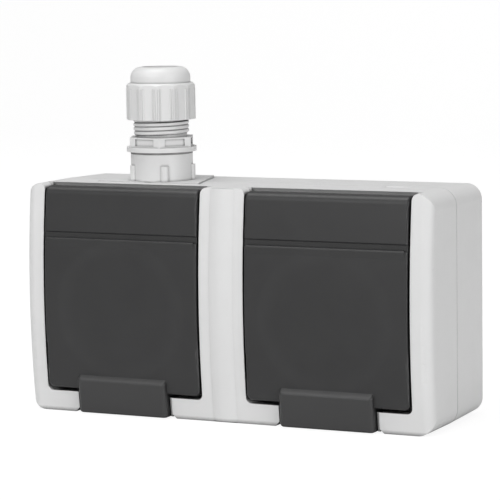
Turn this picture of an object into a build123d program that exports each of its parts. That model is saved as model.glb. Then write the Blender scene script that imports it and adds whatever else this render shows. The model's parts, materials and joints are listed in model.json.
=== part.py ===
"""Two-gang outdoor socket: wall box, front cover, two sprung lids and a cable gland.

The origin is the centre of the back face.  +X is to the right, +Y goes into the wall, +Z is up.
A depth is a distance from the wall towards the front, so it is measured along -Y.
"""
import os
from math import asin, cos, degrees, pi, radians, sin, sqrt

from build123d import *

os.makedirs("parts", exist_ok=True)

# Enclosure
width = 156.0
height = 82.0
depth = 50.5
cover_depth = 24.5
front_bulge = 2.7
corner_radius = 6.0
upright_round = 3.8
wall = 2.5
base_draft = 1.3
seam_chamfer = 0.35
rim_overlap = 3.0
rim_thickness = 1.2
rim_clearance = 0.15
gasket_thickness = 1.0

# Lid openings in the front cover
module_offset = 39.5
recess_width = 62.0
sill_height = 7.4
recess_setback = 8.3
recess_floor = 2.0
recess_corner = 2.0
recess_flare = 2.5
notch_chamfer = 1.6
bead_width = 9.2
bead_height = 0.9
bead_end_gap = 0.35
strip_pocket_wall = 2.3
strip_setback = 4.5
pry_slot_x = 56.0
pry_slot_size = (7.6, 2.2, 1.6)

# Lids and hinges
lid_gap = 0.7
lid_foot_gap = 1.35
lid_proud = 0.8
lid_wall = 2.4
lid_setback = 7.7
lid_corner = 2.2
lid_side_edge = 0.8
lid_top_drop = 0.95
lid_top_radius = 3.0
lid_roof = 1.15
hinge_setback = 3.5
hinge_drop = 4.0
roof_overhang = 2.0
trough_radius = 4.7
trough_wall = 2.0
pin_diameter = 2.0
pin_anchor = 4.5
pin_end_gap = 0.3
pin_press = 0.02
pin_running = 0.06
knuckle_radius = 2.1
knuckle_length = 7.0
groove_z = 22.7
groove_rise = 1.6
groove_slope = 0.6
groove_fall = 1.2
groove_lip = 0.25
groove_depth = 0.7
grip_width = 35.2
grip_reach = 2.1
grip_crest = 12.2
grip_bevel = 1.6
grip_foot_gap = 0.35
grip_corner = 1.8
grip_edge = 0.9
grip_gap = 1.1
spring_wire = 0.5
spring_turns = 4.5
spring_gap = 0.2
spring_leg = 8.0

# Socket inserts
socket_z = -3.4
well_bore = 38.8
well_wall = 2.8
well_depth = 17.5
well_floor = 2.5
well_setback = 6.5
well_clearance = 0.4
flange_radius = 25.0
flange_thickness = 2.0
well_seal_thickness = 0.8
guide_rib = (6.0, 1.6)
pin_pitch = 19.0
pin_hole = 6.0
lid_seal_outer = 24.0
lid_seal_inner = 19.6
lid_seal_thickness = 2.2
lid_seal_gap = 0.4
carrier_width = 44.0
carrier_height = 40.0
carrier_stand = 7.0
carrier_corner = 6.2
carrier_pillar = 6.0
carrier_screw_x = 16.5
carrier_screw_z = 15.5
contact_bore = 5.0
contact_tube = 7.4
contact_clearance = 0.2
contact_slot = 0.8
strip_thickness = 1.0
strip_width = 5.0
terminal_size = 7.0
terminal_length = 9.0
terminal_drop = 15.0
terminal_screw = 3.0
terminal_screw_head = 4.8
terminal_screw_head_height = 1.5
link_height = 3.0
link_gap = 0.4
live_link_drop = 4.5
neutral_link_drop = 9.5
earth_thickness = 0.8
earth_width = 7.0
earth_radius = 18.2
earth_reach = 13.5
earth_nose = 2.0
earth_link_rise = 6.0
centre_screw = 4.0
centre_screw_length = 10.5
centre_screw_head = 7.2
centre_screw_head_height = 2.0

# Fasteners and wall fixing
cover_screw = 3.5
cover_screw_head = 6.6
cover_screw_head_height = 2.4
cover_screw_length = 16.0
cover_screw_inset = 7.5
cover_screw_top = 22.5
cover_screw_bottom = -26.0
cover_post = 7.0
screw_clearance = 0.1
carrier_screw = 3.0
carrier_screw_head = 6.0
carrier_screw_head_height = 1.7
fixing_hole = 5.0
fixing_spacing = 140.0
fixing_boss = 9.0
fixing_boss_height = 2.0

# Cable entry on top of the left module
entry_x = -34.7
pad_height = 0.35
pad_setback = 13.6
pad_back = 6.0
pad_half_width = 16.8
pad_slope = 0.3
pad_groove = 0.45
pad_groove_depth = 0.6
sleeve_radius = 11.1
sleeve_height = 9.45
sleeve_neck = 9.6
sleeve_clearance = 0.1
sleeve_bore = 8.0
sleeve_collar = 12.5
sleeve_collar_height = 1.9
sleeve_rib_count = 5
sleeve_rib_width = 3.0
sleeve_rib_reach = 1.1
sleeve_rib_height = 5.5
sleeve_rib_angle = -57.5

# Cable gland
thread_radius = 10.0
thread_root = 9.1
thread_pitch = 1.5
thread_play = 0.15
thread_entry = 8.5
gland_gasket_height = 0.8
gland_flange_radius = 12.5
gland_flange_height = 1.7
hex_height = 3.5
hex_angle = 23.2
hex_pocket = (7.8, 2.4, 0.5)
gland_bore = 6.9
claw_height = 4.8
claw_room = 0.85
thread_shown = 6.7
claw_count = 8
claw_slot = 1.0
claw_taper = 0.9
nut_rise = 6.2
nut_grip_radius = 12.35
nut_grip_height = 13.0
nut_grip_sides = 12
nut_grip_angle = 20.2
nut_rib_radius = 0.36
nut_rib_angles = (-6.0, -2.0, 2.0, 6.0)
nut_rib_height = 11.0
nut_shoulder = 0.5
nut_height = 18.7
nut_dome_radius = 10.7
nut_dome_edge = 3.8
nut_hole = 6.6
nut_lip = 2.2
ring_height = 3.2
ring_play = 0.15
nut_turns = 3.0

# Worked out from the driving sizes
barrel_radius = ((height / 2) ** 2 + front_bulge**2) / (2 * front_bulge)
barrel_axis_y = barrel_radius - depth
barrel_axis = Axis((0, barrel_axis_y, 0), (1, 0, 0))
top = height / 2
sill_top = sill_height - top
base_depth = depth - cover_depth
entry_depth = base_depth
pad_front = depth - pad_setback
recess_floor_depth = depth - recess_setback
floor_back_depth = recess_floor_depth - recess_floor
strip_pocket_depth = depth - strip_setback
lid_back_depth = depth - lid_setback
well_rim_depth = depth - well_setback


def front_depth(z, inset=0.0):
    """Depth of the bulged front, or of a surface that runs inset behind it, at height z."""
    return sqrt((barrel_radius - inset) ** 2 - z**2) - barrel_axis_y


pivot_z = top - hinge_drop
pivot_depth = front_depth(pivot_z) - hinge_setback
lid_width = recess_width - 2 * lid_gap
lid_bottom = sill_top + lid_foot_gap
well_outer = well_bore / 2 + well_wall
well_floor_depth = well_rim_depth - well_depth
well_back_depth = well_floor_depth - well_floor
carrier_front_depth = well_back_depth
carrier_depth = carrier_front_depth - carrier_stand
seal_depth = well_rim_depth + lid_seal_gap
grip_top = grip_crest - top
grip_foot = grip_foot_gap - top
sides = {"left": -1, "right": 1}


def at_depth(distance):
    """Front-view plane at a distance from the wall; extruding from it goes to the front."""
    return Plane.XZ.offset(distance)


def pad_width(distance, extra=0.0):
    """Half the width of the raised entry pad at a distance from the wall."""
    return pad_half_width + pad_slope * (distance - entry_depth) + extra


def pad_solid(near, far, low, high, extra=0.0):
    """Wedge-shaped pad round the cable entry, between two depths and two heights."""
    with BuildPart() as pad:
        with BuildSketch(Plane.XY.offset(low)):
            with BuildLine():
                Polyline(
                    (entry_x - pad_width(near, extra), -near),
                    (entry_x - pad_width(far, extra), -far),
                    (entry_x + pad_width(far, extra), -far),
                    (entry_x + pad_width(near, extra), -near),
                    close=True,
                )
            make_face()
        extrude(amount=high - low)
    return pad.part


def cover_screw_places():
    """Front-view places of the four screws that hold the front cover."""
    reach = recess_width / 2 - cover_screw_inset
    low = [(side * (module_offset + reach), cover_screw_bottom) for side in (-1, 1)]
    high = [(side * (module_offset - reach), cover_screw_top) for side in (-1, 1)]
    return low + high


def carrier_screw_places():
    """Front-view places of the screws that hold the two contact carriers."""
    places = []
    for side in sides.values():
        for across in (-1, 1):
            place_x = side * module_offset + across * carrier_screw_x
            places.append((place_x, socket_z + across * carrier_screw_z))
    return places


def base_box():
    """Rear half: a box with a stepped rim, screw posts, pillars and wall fixings."""
    back_inset = base_depth * sin(radians(base_draft)) / cos(radians(base_draft))
    with BuildPart() as box:
        with BuildSketch(Plane.XZ.offset(base_depth)):
            RectangleRounded(width, height, corner_radius)
        extrude(amount=-base_depth, taper=base_draft)
        with BuildSketch(at_depth(base_depth)):
            RectangleRounded(width - 2 * wall, height - 2 * wall, corner_radius - wall)
        extrude(amount=wall - base_depth, taper=base_draft, mode=Mode.SUBTRACT)
        chamfer(box.faces().sort_by(Axis.Y)[0].outer_wire().edges(), seam_chamfer)
        with BuildSketch(at_depth(base_depth)):
            rim_inset = rim_thickness + rim_clearance
            RectangleRounded(width - 2 * rim_inset, height - 2 * rim_inset, corner_radius - rim_inset)
            RectangleRounded(width - 2 * wall, height - 2 * wall, corner_radius - wall, mode=Mode.SUBTRACT)
        extrude(amount=rim_overlap)
        with BuildSketch(at_depth(wall)):
            with Locations(*cover_screw_places()):
                Circle(cover_post / 2)
        extrude(amount=floor_back_depth - wall)
        with BuildSketch(at_depth(wall)):
            with Locations(*carrier_screw_places()):
                Circle(carrier_pillar / 2)
        extrude(amount=carrier_stand - wall)
        with BuildSketch(at_depth(wall)):
            with Locations((-fixing_spacing / 2, 0), (fixing_spacing / 2, 0)):
                Circle(fixing_boss / 2)
        extrude(amount=fixing_boss_height)
        with BuildSketch(at_depth(0)):
            with Locations((-fixing_spacing / 2, 0), (fixing_spacing / 2, 0)):
                Circle(fixing_hole / 2)
        extrude(amount=wall + fixing_boss_height, mode=Mode.SUBTRACT)
        with BuildSketch(at_depth(floor_back_depth)):
            with Locations(*cover_screw_places()):
                Circle(cover_screw / 2 + screw_clearance)
        extrude(amount=-cover_screw_length, mode=Mode.SUBTRACT)
        with BuildSketch(at_depth(carrier_stand)):
            with Locations(*carrier_screw_places()):
                Circle(carrier_screw / 2 + screw_clearance)
        extrude(amount=wall / 2 - carrier_stand, mode=Mode.SUBTRACT)
        pad_low = top - pad_groove_depth - back_inset
        add(pad_solid(pad_back, base_depth, pad_low, top + wall, pad_groove), mode=Mode.SUBTRACT)
        add(pad_solid(pad_back, base_depth, top - wall + back_inset, top + pad_height))
        with Locations((entry_x, -entry_depth, top)):
            Cylinder(sleeve_neck + sleeve_clearance, 4 * wall, mode=Mode.SUBTRACT)
    return box.part


def cover_cavity():
    """Space behind the front cover's recess floors and hinge troughs."""
    with BuildPart() as cavity:
        with BuildSketch(at_depth(base_depth)):
            RectangleRounded(width - 2 * wall, height - 2 * wall, corner_radius - wall)
        extrude(amount=floor_back_depth - base_depth)
        with BuildSketch(at_depth(base_depth)):
            lip_width = width - 2 * rim_thickness
            lip_height = height - 2 * rim_thickness
            RectangleRounded(lip_width, lip_height, corner_radius - rim_thickness)
        extrude(amount=rim_overlap + gasket_thickness)
        for side in sides.values():
            with Locations((side * module_offset, -pivot_depth, pivot_z)):
                Cylinder(
                    trough_radius + trough_wall,
                    recess_width + 2 * trough_wall,
                    rotation=(0, 90, 0),
                    mode=Mode.SUBTRACT,
                )
        strip_width_inside = 2 * (module_offset - recess_width / 2 - strip_pocket_wall)
        with BuildSketch(at_depth(floor_back_depth)):
            Rectangle(strip_width_inside, 2 * (pivot_z - pin_diameter))
        extrude(amount=strip_pocket_depth - floor_back_depth)
    return cavity.part


def barrel_plane(angle):
    """Plane through the axis of the bulge, turned from the front; the front lies at -barrel_radius in it."""
    return Plane(origin=(0, barrel_axis_y, 0), x_dir=(1, 0, 0), z_dir=(0, sin(angle), cos(angle)))


def front_bead():
    """Low rounded bead down the strip between the lids, following the bulged front."""
    end_angle = asin((top + bead_height) / barrel_radius)
    with BuildPart() as bead:
        with BuildSketch(barrel_plane(end_angle)):
            with BuildLine():
                crown = ThreePointArc(
                    (-bead_width / 2, -barrel_radius),
                    (0, -barrel_radius - bead_height),
                    (bead_width / 2, -barrel_radius),
                )
                Polyline(
                    crown @ 1,
                    (bead_width / 2, wall / 2 - barrel_radius),
                    (-bead_width / 2, wall / 2 - barrel_radius),
                    crown @ 0,
                )
            make_face()
        revolve(axis=barrel_axis, revolution_arc=2 * degrees(end_angle))
        with Locations((0, -depth, 0)):
            Box(2 * bead_width, 4 * front_bulge, height - 2 * bead_end_gap, mode=Mode.INTERSECT)
    return bead.part


def front_cover():
    """Front half: a bulged hood with two lid recesses, hinge troughs and round openings for the wells."""
    body_depth = cover_depth + wall
    end_angle = asin((top + wall) / (barrel_radius - body_depth))
    with BuildPart() as cover:
        with BuildSketch(barrel_plane(end_angle)) as body:
            with Locations((0, -barrel_radius)):
                Rectangle(width, body_depth, align=(Align.CENTER, Align.MIN))
            fillet(body.vertices().sort_by(Axis.Y)[:2], upright_round)
        revolve(axis=barrel_axis, revolution_arc=2 * degrees(end_angle))
        with BuildSketch(at_depth(base_depth)):
            RectangleRounded(width, height, corner_radius)
        extrude(amount=depth, mode=Mode.INTERSECT)
        chamfer(cover.faces().sort_by(Axis.Y)[-1].edges(), seam_chamfer)
        add(front_bead())
        add(cover_cavity(), mode=Mode.SUBTRACT)
        for side in sides.values():
            centre = side * module_offset
            with BuildSketch(at_depth(recess_floor_depth)):
                with Locations((centre, sill_top)):
                    RectangleRounded(recess_width, height, recess_corner, align=(Align.CENTER, Align.MIN))
                for across in (-1, 1):
                    edge_x = centre + across * recess_width / 2
                    flare_x = edge_x + across * recess_flare
                    middle = recess_flare * sqrt(0.5)
                    with BuildLine():
                        flare = ThreePointArc(
                            (edge_x, top - recess_flare),
                            (flare_x - across * middle, top - recess_flare + middle),
                            (flare_x, top),
                        )
                        Polyline(
                            flare @ 1,
                            (flare_x, top + wall),
                            (centre, top + wall),
                            (centre, top - recess_flare),
                            flare @ 0,
                        )
                    make_face()
                notch_half = grip_width / 2 + grip_gap
                with Locations((centre, -top)):
                    Rectangle(2 * notch_half, 2 * sill_height)
                with Locations((centre - notch_half, -top), (centre + notch_half, -top)):
                    Rectangle(sqrt(2) * notch_chamfer, sqrt(2) * notch_chamfer, rotation=45)
            extrude(amount=depth, mode=Mode.SUBTRACT)
            with Locations((centre, -pivot_depth, pivot_z)):
                Cylinder(trough_radius, recess_width, rotation=(0, 90, 0), mode=Mode.SUBTRACT)
                Cylinder(
                    pin_diameter / 2 + pin_press,
                    recess_width + 2 * pin_anchor,
                    rotation=(0, 90, 0),
                    mode=Mode.SUBTRACT,
                )
            with BuildSketch(at_depth(floor_back_depth)):
                with Locations((centre, socket_z)):
                    Circle(well_outer + well_clearance)
            extrude(amount=2 * recess_floor, mode=Mode.SUBTRACT)
        with BuildSketch(at_depth(floor_back_depth)):
            with Locations(*cover_screw_places()):
                Circle(cover_screw / 2 + screw_clearance)
        extrude(amount=2 * recess_floor, mode=Mode.SUBTRACT)
        with Locations((pry_slot_x, -base_depth, top)):
            Box(pry_slot_size[0], 2 * pry_slot_size[1], 2 * pry_slot_size[2], mode=Mode.SUBTRACT)
        pad_low = top - pad_groove_depth
        add(pad_solid(base_depth, pad_front, pad_low, top + wall, pad_groove), mode=Mode.SUBTRACT)
        add(pad_solid(base_depth, pad_front, pad_low, top + pad_height))
        with Locations((entry_x, -entry_depth, top)):
            Cylinder(sleeve_neck + sleeve_clearance, 4 * wall, mode=Mode.SUBTRACT)
    return cover.part


def cover_gasket():
    """Rubber ring between the base rim and the shoulder in the front cover."""
    with BuildPart() as ring:
        with BuildSketch(at_depth(base_depth + rim_overlap)):
            outer = rim_thickness + rim_clearance
            RectangleRounded(width - 2 * outer, height - 2 * outer, corner_radius - outer)
            RectangleRounded(width - 2 * wall, height - 2 * wall, corner_radius - wall, mode=Mode.SUBTRACT)
        extrude(amount=gasket_thickness)
        with Locations((entry_x, -entry_depth, top)):
            Cylinder(sleeve_neck + sleeve_clearance, 4 * wall, mode=Mode.SUBTRACT)
    return ring.part


def screws_at(places, head_depth, head_diameter, head_height, shank_diameter, shank_length):
    """A group of round-headed screws that point at the wall, with a cross recess left to the finish."""
    with BuildPart() as group:
        with BuildSketch(at_depth(head_depth)):
            with Locations(*places):
                Circle(head_diameter / 2)
        extrude(amount=head_height)
        with BuildSketch(at_depth(head_depth)):
            with Locations(*places):
                Circle(shank_diameter / 2)
        extrude(amount=-shank_length)
        chamfer(group.edges().group_by(Axis.Y)[0], head_height / 4)
    return group.part


def lid_profile(inset, back):
    """Side outline of a lid: bulged front, rounded top, roof over the hinge and a back edge."""
    low = lid_bottom + inset
    high = top - lid_top_drop - min(lid_roof, inset)
    behind = inset - lid_proud
    with BuildLine() as outline:
        face = ThreePointArc(
            (-front_depth(low, behind), low),
            (-front_depth(0, behind), 0),
            (-front_depth(high, behind), high),
        )
        if back is None:
            open_back = lid_wall - recess_floor_depth + lid_gap
            Polyline(face @ 1, (roof_overhang - pivot_depth + lid_wall, high), (open_back, high - hinge_drop))
            Polyline((open_back, high - hinge_drop), (open_back, low), face @ 0)
        else:
            Polyline(
                face @ 1,
                (roof_overhang - pivot_depth, high),
                (roof_overhang - pivot_depth, pivot_z + lid_wall / 2),
                (-back, pivot_z - hinge_drop),
                (-back, low),
                face @ 0,
            )
    return outline.line


def lid_cavity(centre):
    """Hollow behind a lid's front wall, which leaves a round land for the lid's seal."""
    with BuildPart() as cavity:
        with BuildSketch(Plane.YZ.offset(centre)):
            add(lid_profile(lid_wall, None))
            make_face()
        extrude(amount=lid_width / 2 - lid_wall, both=True)
        with BuildSketch(at_depth(seal_depth + lid_seal_thickness)):
            with Locations((centre, socket_z)):
                Circle(lid_seal_outer)
                Circle(lid_seal_inner, mode=Mode.SUBTRACT)
        extrude(amount=depth, mode=Mode.SUBTRACT)
    return cavity.part


def lid_groove(centre):
    """Cutter for the cross groove: a sloped upper wall and a rounded lower lip."""
    middle_y = -front_depth(groove_z, -lid_proud)
    lip_z = groove_z - groove_fall - groove_lip
    lip_y = -front_depth(lip_z, -lid_proud)
    bend = groove_lip * (1 - sqrt(0.5))
    with BuildPart() as groove:
        with BuildSketch(Plane.YZ.offset(centre)):
            with BuildLine():
                lip = ThreePointArc(
                    (lip_y + groove_lip, lip_z + groove_lip),
                    (lip_y + bend, lip_z + groove_lip - bend),
                    (lip_y, lip_z),
                )
                Polyline(
                    lip @ 1,
                    (middle_y - groove_depth, lip_z),
                    (middle_y - groove_depth, groove_z + groove_rise + groove_slope),
                    (middle_y + groove_depth, groove_z + groove_rise - groove_slope),
                    (middle_y + groove_depth, groove_z - groove_fall),
                    lip @ 0,
                )
            make_face()
        extrude(amount=lid_width, both=True)
    return groove.part


def lid_grip(centre):
    """Finger grip at a lid's foot: round corners in plan, leaning with the bulge, with a sloped top."""
    slope_top = (-front_depth(grip_top + grip_bevel, -lid_proud), grip_top + grip_bevel)
    crest = (-front_depth(grip_top, -lid_proud) - grip_reach, grip_top)
    front_foot = -front_depth(grip_foot, -lid_proud) - grip_reach
    past_crest = (2 * crest[0] - slope_top[0], 2 * crest[1] - slope_top[1])
    with BuildPart() as grip:
        with BuildSketch(Plane.XY.offset(grip_foot)):
            with Locations((centre, front_foot)):
                RectangleRounded(grip_width, depth, grip_corner, align=(Align.CENTER, Align.MIN))
        extrude(amount=2 * grip_crest, dir=(0, crest[0] - front_foot, grip_top - grip_foot))
        with BuildSketch(Plane.YZ.offset(centre)):
            with BuildLine():
                Polyline(
                    slope_top,
                    past_crest,
                    (past_crest[0], grip_foot - grip_bevel),
                    (-lid_back_depth, grip_foot - grip_bevel),
                    (-lid_back_depth, grip_top + grip_bevel),
                    close=True,
                )
            make_face()
        extrude(amount=grip_width, both=True, mode=Mode.INTERSECT)
        slope = grip.faces().filter_by(lambda f: f.normal_at().Y < -0.1 and f.normal_at().Z > 0.1)
        crest_edges = slope.edges().filter_by(lambda e: e.center().Y < slope_top[0] - grip_edge / 4)
        foot_edges = grip.faces().sort_by(Axis.Z)[0].edges()
        foot_edges = foot_edges.filter_by(lambda e: e.center().Y < -lid_back_depth - grip_edge)
        fillet(crest_edges + foot_edges, grip_edge)
    return grip.part


def lid(side):
    """Hinged cover: a bulged shell with side walls, hinge knuckles, a groove and a grip at its foot."""
    centre = side * module_offset
    middle = Plane.YZ.offset(centre)
    with BuildPart() as shell:
        with BuildSketch(middle):
            add(lid_profile(0.0, lid_back_depth))
            make_face()
        extrude(amount=lid_width / 2, both=True)
        long_edges = shell.edges().filter_by(Axis.X)
        fillet(long_edges.group_by(Axis.Z)[-1].sort_by(Axis.Y)[0], lid_top_radius)
        fillet(long_edges.group_by(Axis.Z)[-1].sort_by(Axis.Y)[-1], lid_top_radius / 2)
        fillet(shell.edges().filter_by(Axis.Y).group_by(Axis.Z)[0], lid_corner)
        front_edges = shell.faces().sort_by(Axis.Y)[0].edges()
        side_edges = front_edges.filter_by(lambda e: abs(e.center().X - centre) > lid_width / 2 - lid_wall)
        fillet(side_edges, lid_side_edge)
        add(lid_groove(centre), mode=Mode.SUBTRACT)
        add(lid_grip(centre))
        add(lid_cavity(centre), mode=Mode.SUBTRACT)
        with BuildSketch(middle):
            with Locations((-lid_back_depth, grip_foot + lid_wall)):
                Rectangle(
                    2 * (front_depth(grip_foot, -lid_proud) + grip_reach - lid_wall - lid_back_depth),
                    sill_height + lid_wall,
                    align=(Align.CENTER, Align.MIN),
                )
        extrude(amount=grip_width / 2 - lid_wall, both=True, mode=Mode.SUBTRACT)
        for end in (-1, 1):
            with Locations((centre + end * (lid_width - knuckle_length) / 2, -pivot_depth, pivot_z)):
                Cylinder(knuckle_radius, knuckle_length, rotation=(0, 90, 0))
        with Locations((centre, -pivot_depth, pivot_z)):
            Cylinder(pin_diameter / 2 + pin_running, lid_width, rotation=(0, 90, 0), mode=Mode.SUBTRACT)
    return shell.part


def flat_ring(centre, low_depth, thickness, outer, inner):
    """Flat ring round a socket's axis."""
    with BuildPart() as ring:
        with BuildSketch(at_depth(low_depth)):
            with Locations((centre, socket_z)):
                Circle(outer)
                Circle(inner, mode=Mode.SUBTRACT)
        extrude(amount=thickness)
    return ring.part


def hinge_pin(side):
    """Steel pin through a lid's knuckles, held in the cover at both ends."""
    with BuildPart() as pin:
        with Locations((side * module_offset, -pivot_depth, pivot_z)):
            Cylinder(pin_diameter / 2, recess_width + 2 * (pin_anchor - pin_end_gap), rotation=(0, 90, 0))
        chamfer(pin.edges().filter_by(GeomType.CIRCLE), pin_diameter / 8)
    return pin.part


def lid_spring(side):
    """Torsion spring round the hinge pin, with one leg on the lid and one in the hinge trough."""
    coil_radius = pin_diameter / 2 + spring_gap + spring_wire / 2
    coil_pitch = spring_wire + spring_gap
    coil_length = spring_turns * coil_pitch
    trough_leg = sqrt(trough_radius**2 - coil_radius**2) - spring_wire
    with BuildPart() as spring:
        with BuildLine():
            coil = Helix(coil_pitch, coil_length, coil_radius, lefthand=True)
        with BuildSketch(Plane(origin=coil @ 0, z_dir=coil % 0)):
            RegularPolygon(spring_wire / 2, 4)
        sweep(is_frenet=True)
        for tip, leg in ((coil @ 0, spring_leg), (coil @ 1, trough_leg)):
            with BuildSketch(Plane(origin=(tip.X, -spring_wire, tip.Z), z_dir=(0, 1, 0))):
                Circle(spring_wire / 2)
            extrude(amount=leg)
    start = (side * module_offset - coil_length / 2, -pivot_depth, pivot_z)
    return spring.part.moved(Plane(origin=start, x_dir=(0, -1, 0), z_dir=(1, 0, 0)).location)


def socket_well(side):
    """Round socket pot with a clamping flange, guide ribs, pin holes and slots for the earth clips."""
    centre = side * module_offset
    with BuildPart() as well:
        with BuildSketch(at_depth(well_back_depth)):
            with Locations((centre, socket_z)):
                Circle(well_outer)
        extrude(amount=well_rim_depth - well_back_depth)
        chamfer(well.edges().group_by(Axis.Y)[0], well_wall / 4)
        with BuildSketch(at_depth(floor_back_depth - well_seal_thickness)):
            with Locations((centre, socket_z)):
                Circle(flange_radius)
        extrude(amount=-flange_thickness)
        with BuildSketch(at_depth(well_floor_depth)):
            with Locations((centre, socket_z)):
                Circle(well_bore / 2)
        extrude(amount=well_depth, mode=Mode.SUBTRACT)
        with BuildSketch(at_depth(well_floor_depth)):
            for across in (-1, 1):
                with Locations((centre + across * well_bore / 2, socket_z)):
                    Rectangle(2 * guide_rib[1], guide_rib[0])
            with Locations((centre, socket_z)):
                Circle(well_bore / 2 + well_wall / 2, mode=Mode.INTERSECT)
        extrude(amount=well_depth - well_wall)
        with BuildSketch(at_depth(well_back_depth)):
            with Locations((centre - pin_pitch / 2, socket_z), (centre + pin_pitch / 2, socket_z)):
                Circle(pin_hole / 2)
            for up in (-1, 1):
                with Locations((centre, socket_z + up * (earth_radius - earth_thickness / 2))):
                    Rectangle(earth_width + 2 * contact_clearance, earth_thickness + 4 * contact_clearance)
            with Locations((centre, socket_z)):
                Circle(centre_screw / 2 + screw_clearance)
        extrude(amount=well_floor, mode=Mode.SUBTRACT)
    return well.part


def contact_carrier(side):
    """Moulded block behind a well that holds the contacts, terminals and the earth strap."""
    centre = side * module_offset
    strap_room = earth_thickness + contact_clearance
    with BuildPart() as block:
        with BuildSketch(at_depth(carrier_stand)):
            with Locations((centre, socket_z)):
                RectangleRounded(carrier_width, carrier_height, carrier_corner)
        extrude(amount=carrier_depth)
        with BuildSketch(at_depth(carrier_front_depth)):
            with Locations((centre, socket_z)):
                Rectangle(earth_width + 2 * contact_clearance, carrier_height)
            with Locations((centre - side * carrier_width / 2, socket_z + earth_link_rise)):
                Rectangle(carrier_width, strip_width + 2 * contact_clearance, align=(Align.CENTER, Align.MIN))
        extrude(amount=-strap_room, mode=Mode.SUBTRACT)
        with BuildSketch(at_depth(carrier_stand)):
            for across in (-1, 1):
                with Locations((centre + across * pin_pitch / 2, socket_z)):
                    Circle(contact_tube / 2 + contact_clearance)
        extrude(amount=carrier_depth, mode=Mode.SUBTRACT)
        with BuildSketch(at_depth(carrier_stand)):
            for across in (-1, 1):
                with Locations((centre + across * pin_pitch / 2, socket_z)):
                    slot_width = strip_width + 2 * contact_clearance
                    Rectangle(slot_width, carrier_height / 2, align=(Align.CENTER, Align.MAX))
        extrude(amount=strip_thickness + 4 * contact_clearance, mode=Mode.SUBTRACT)
        with BuildSketch(at_depth(carrier_stand)):
            for across in (-1, 1):
                with Locations((centre + across * pin_pitch / 2, socket_z - terminal_drop)):
                    Rectangle(terminal_size + 2 * contact_clearance, terminal_size + 4 * contact_clearance)
        extrude(amount=strip_thickness + terminal_length + 8 * contact_clearance, mode=Mode.SUBTRACT)
        with BuildSketch(at_depth(carrier_stand)):
            for across in (-1, 1):
                with Locations((centre + across * pin_pitch / 2, socket_z - terminal_drop)):
                    Circle(terminal_screw)
        extrude(amount=carrier_depth, mode=Mode.SUBTRACT)
        with BuildSketch(at_depth(carrier_stand)):
            for across in (-1, 1):
                with Locations((centre + across * carrier_screw_x, socket_z + across * carrier_screw_z)):
                    Circle(carrier_screw / 2 + screw_clearance)
            with Locations((centre, socket_z)):
                Circle(centre_screw / 2 + screw_clearance)
        extrude(amount=carrier_depth, mode=Mode.SUBTRACT)
        with BuildSketch(at_depth(carrier_front_depth)):
            for across in (-1, 1):
                with Locations((centre + across * carrier_screw_x, socket_z + across * carrier_screw_z)):
                    Circle(carrier_screw_head / 2 + screw_clearance)
        extrude(amount=-carrier_screw_head_height, mode=Mode.SUBTRACT)
    return block.part


def pin_contact(side, across):
    """Slotted brass tube for one plug pin, with a strip down to its screw terminal."""
    middle = side * module_offset + across * pin_pitch / 2
    strip_depth = carrier_stand + contact_clearance
    with BuildPart() as contact:
        with BuildSketch(at_depth(strip_depth)):
            with Locations((middle, socket_z)):
                Circle(contact_tube / 2)
        extrude(amount=carrier_front_depth - 2 * contact_clearance - strip_depth)
        with BuildSketch(at_depth(strip_depth + strip_thickness)):
            with Locations((middle, socket_z)):
                Circle(contact_bore / 2)
                Rectangle(contact_slot, 2 * contact_tube)
        extrude(amount=carrier_depth, mode=Mode.SUBTRACT)
        with BuildSketch(at_depth(strip_depth)):
            with Locations((middle, socket_z)):
                Rectangle(strip_width, terminal_drop, align=(Align.CENTER, Align.MAX))
        extrude(amount=strip_thickness)
        with BuildSketch(at_depth(strip_depth)):
            with Locations((middle, socket_z - terminal_drop)):
                Rectangle(terminal_size, terminal_size)
        extrude(amount=strip_thickness + terminal_length)
        with BuildSketch(at_depth(strip_depth + strip_thickness)):
            with Locations((middle, socket_z - terminal_drop)):
                Circle(terminal_screw / 2 + screw_clearance)
        extrude(amount=terminal_length, mode=Mode.SUBTRACT)
        wire_depth = strip_depth + strip_thickness + terminal_length / 4
        with Locations((middle, -wire_depth, socket_z - terminal_drop)):
            Cylinder(terminal_screw / 2, 2 * terminal_size, mode=Mode.SUBTRACT)
    return contact.part


def link_bar(across, drop):
    """Flat bar behind the carriers that joins the same contact of both sockets."""
    places = [side * module_offset + across * pin_pitch / 2 for side in sides.values()]
    bar_depth = carrier_stand - link_gap
    with BuildPart() as bar:
        with BuildSketch(at_depth(bar_depth)):
            with Locations(((places[0] + places[1]) / 2, socket_z - drop)):
                Rectangle(places[1] - places[0] + strip_width, link_height)
        extrude(amount=-strip_thickness)
        with BuildSketch(at_depth(bar_depth)):
            for place in places:
                with Locations((place, socket_z - drop)):
                    Rectangle(strip_width - 2 * contact_clearance, link_height)
        extrude(amount=link_gap + contact_clearance)
    return bar.part


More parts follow.
